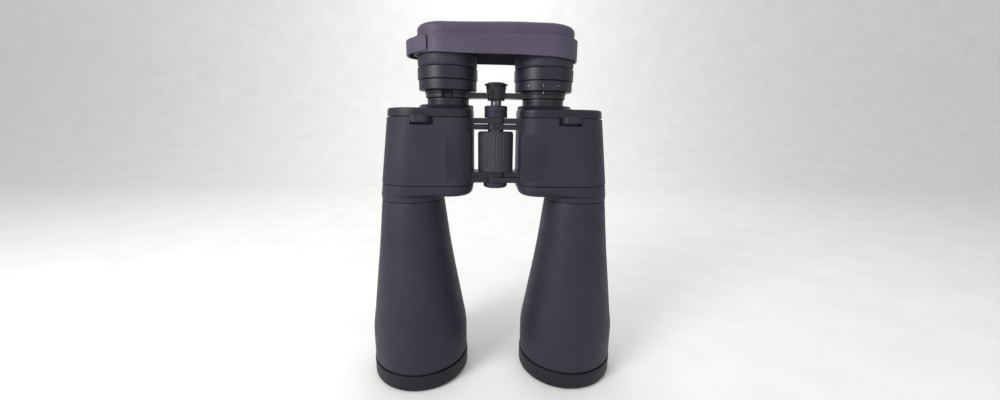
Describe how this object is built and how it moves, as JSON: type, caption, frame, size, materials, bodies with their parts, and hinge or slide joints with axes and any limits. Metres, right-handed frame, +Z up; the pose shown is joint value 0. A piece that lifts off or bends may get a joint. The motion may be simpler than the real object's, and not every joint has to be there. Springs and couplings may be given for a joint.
{
  "type": "binoculars",
  "caption": "Rubber-armoured porro-prism binoculars standing on objective caps, with centre focus bridge, folding hinge, twist-up eyecups and an eyepiece rain guard.",
  "frame": {"origin": "on the ground, midway between the two objective axes, under the centre of the object's box", "axes": "+Z up the optical axes from the objectives to the eyepieces, +X to the right half as seen from the side with the focus wheel, -Y towards that side"},
  "size_m": [0.207, 0.08, 0.2797],
  "materials": {
    "armour_rubber": "matte, very fine grain",
    "cap_rubber": "matte",
    "guard_rubber": "matte",
    "eyecup_rubber": "matte",
    "wheel_rubber": "satin, ribbed",
    "black_alloy": "satin black",
    "cover_paint": "satin",
    "bare_alloy": "as cast",
    "ring_plastic": "satin",
    "hub_plastic": "satin, ribbed",
    "steel": "turned",
    "brass": "turned",
    "coated_glass": "coated, slight tint",
    "prism_glass": "clear"
  },
  "bodies": {
    "left_half": {"objective_barrel_left": "black_alloy", "barrel_armour_left": "armour_rubber", "lens_ring_left": "black_alloy", "objective_crown_left": "coated_glass", "objective_flint_left": "coated_glass", "lens_cell_left": "black_alloy", "light_baffle_left": "black_alloy", "lower_cover_left": "armour_rubber", "prism_housing_left": "black_alloy", "housing_armour_left": "armour_rubber", "prism_shelf_left": "bare_alloy", "lower_prism_left": "prism_glass", "upper_prism_left": "prism_glass", "strap_lug_left": "armour_rubber", "cover_plate_left": "cover_paint", "eyepiece_neck_left": "black_alloy", "hinge_axle": "steel", "hinge_collar": "armour_rubber", "tripod_bush": "brass"},
    "right_half": {"objective_barrel_right": "black_alloy", "barrel_armour_right": "armour_rubber", "lens_ring_right": "black_alloy", "objective_crown_right": "coated_glass", "objective_flint_right": "coated_glass", "lens_cell_right": "black_alloy", "light_baffle_right": "black_alloy", "lower_cover_right": "armour_rubber", "prism_housing_right": "black_alloy", "housing_armour_right": "armour_rubber", "prism_shelf_right": "bare_alloy", "lower_prism_right": "prism_glass", "upper_prism_right": "prism_glass", "strap_lug_right": "armour_rubber", "cover_plate_right": "cover_paint", "eyepiece_neck_right": "black_alloy"},
    "left_cap": {"objective_cap_left": "cap_rubber"},
    "right_cap": {"objective_cap_right": "cap_rubber"},
    "focus_wheel": {"focus_wheel": "ring_plastic", "wheel_plate": "ring_plastic", "wheel_grip": "wheel_rubber"},
    "focus_bridge": {"focus_spindle": "steel", "drive_nut": "brass", "bridge_hub": "hub_plastic", "bridge_arm_left": "black_alloy", "ocular_tube_left": "black_alloy", "field_lens_left": "coated_glass", "eye_lens_left": "coated_glass", "ocular_ring_left": "ring_plastic"},
    "right_arm": {"bridge_arm_right": "black_alloy"},
    "right_ocular": {"ocular_tube_right": "black_alloy", "field_lens_right": "coated_glass", "eye_lens_right": "coated_glass"},
    "diopter_ring": {"ocular_ring_right": "ring_plastic"},
    "left_cup_lift": {"eyecup_slider_left": "ring_plastic"},
    "left_cup_grip": {"eyecup_sleeve_left": "ring_plastic"},
    "left_cup_rubber": {"eyecup_rubber_left": "eyecup_rubber"},
    "right_cup_lift": {"eyecup_slider_right": "ring_plastic"},
    "right_cup_grip": {"eyecup_sleeve_right": "ring_plastic", "eyecup_rubber_right": "eyecup_rubber"},
    "rain_guard": {"rain_guard": "guard_rubber"}
  },
  "joints": [
    {"name": "interpupillary_hinge", "type": "hinge", "parent": "left_half", "child": "right_half", "pos_m": [0, -0.01, 0.19], "axis": [0, 0, 1], "range_deg": [-4, 56]},
    {"name": "focus_turn", "type": "hinge", "parent": "left_half", "child": "focus_wheel", "pos_m": [0, -0.01, 0.19], "axis": [0, 0, 1], "range_deg": [-5, 435]},
    {"name": "bridge_slide", "type": "slide", "parent": "left_half", "child": "focus_bridge", "axis": [0, 0, 1], "range_m": [-0.0002, 0.0079]},
    {"name": "right_arm_fold", "type": "hinge", "parent": "focus_bridge", "child": "right_arm", "pos_m": [0, -0.01, 0.2325], "axis": [0, 0, 1], "range_deg": [-4, 56]},
    {"name": "diopter_rise", "type": "slide", "parent": "right_arm", "child": "right_ocular", "axis": [0, 0, 1], "range_m": [-0.00115, 0.00115]},
    {"name": "diopter_turn", "type": "hinge", "parent": "right_ocular", "child": "diopter_ring", "pos_m": [0.03625, -0.0032, 0.238], "axis": [0, 0, 1], "range_deg": [-50, 50]},
    {"name": "left_cup_rise", "type": "slide", "parent": "focus_bridge", "child": "left_cup_lift", "axis": [0, 0, 1], "range_m": [0, 0.007]},
    {"name": "left_cup_turn", "type": "hinge", "parent": "left_cup_lift", "child": "left_cup_grip", "pos_m": [-0.03625, -0.0032, 0.246], "axis": [0, 0, 1], "range_deg": [0, 120]},
    {"name": "left_cup_swivel", "type": "hinge", "parent": "left_cup_lift", "child": "left_cup_rubber", "pos_m": [-0.03625, -0.0032, 0.256], "axis": [0, 0, 1], "range_deg": [-2, 28]},
    {"name": "rain_guard_lift", "type": "slide", "parent": "left_cup_rubber", "child": "rain_guard", "axis": [0, 0, 1], "range_m": [0, 0.045]},
    {"name": "right_cup_rise", "type": "slide", "parent": "right_ocular", "child": "right_cup_lift", "axis": [0, 0, 1], "range_m": [0, 0.007]},
    {"name": "right_cup_turn", "type": "hinge", "parent": "right_cup_lift", "child": "right_cup_grip", "pos_m": [0.03625, -0.0032, 0.246], "axis": [0, 0, 1], "range_deg": [0, 120]},
    {"name": "left_cap_pull", "type": "slide", "parent": "left_half", "child": "left_cap", "axis": [0, 0, -1], "range_m": [0, 0.04]},
    {"name": "right_cap_pull", "type": "slide", "parent": "right_half", "child": "right_cap", "axis": [0, 0, -1], "range_m": [0, 0.04]}
  ],
  "couplings": [
    {"joint": "bridge_slide", "follows": "focus_turn", "m_per_rad": 0.0010186},
    {"joint": "right_arm_fold", "follows": "interpupillary_hinge", "ratio": 1},
    {"joint": "left_cup_swivel", "follows": "interpupillary_hinge", "ratio": 0.5},
    {"joint": "diopter_rise", "follows": "diopter_turn", "m_per_rad": 0.0011459},
    {"joint": "left_cup_rise", "follows": "left_cup_turn", "m_per_rad": 0.0033423},
    {"joint": "right_cup_rise", "follows": "right_cup_turn", "m_per_rad": 0.0033423}
  ]
}
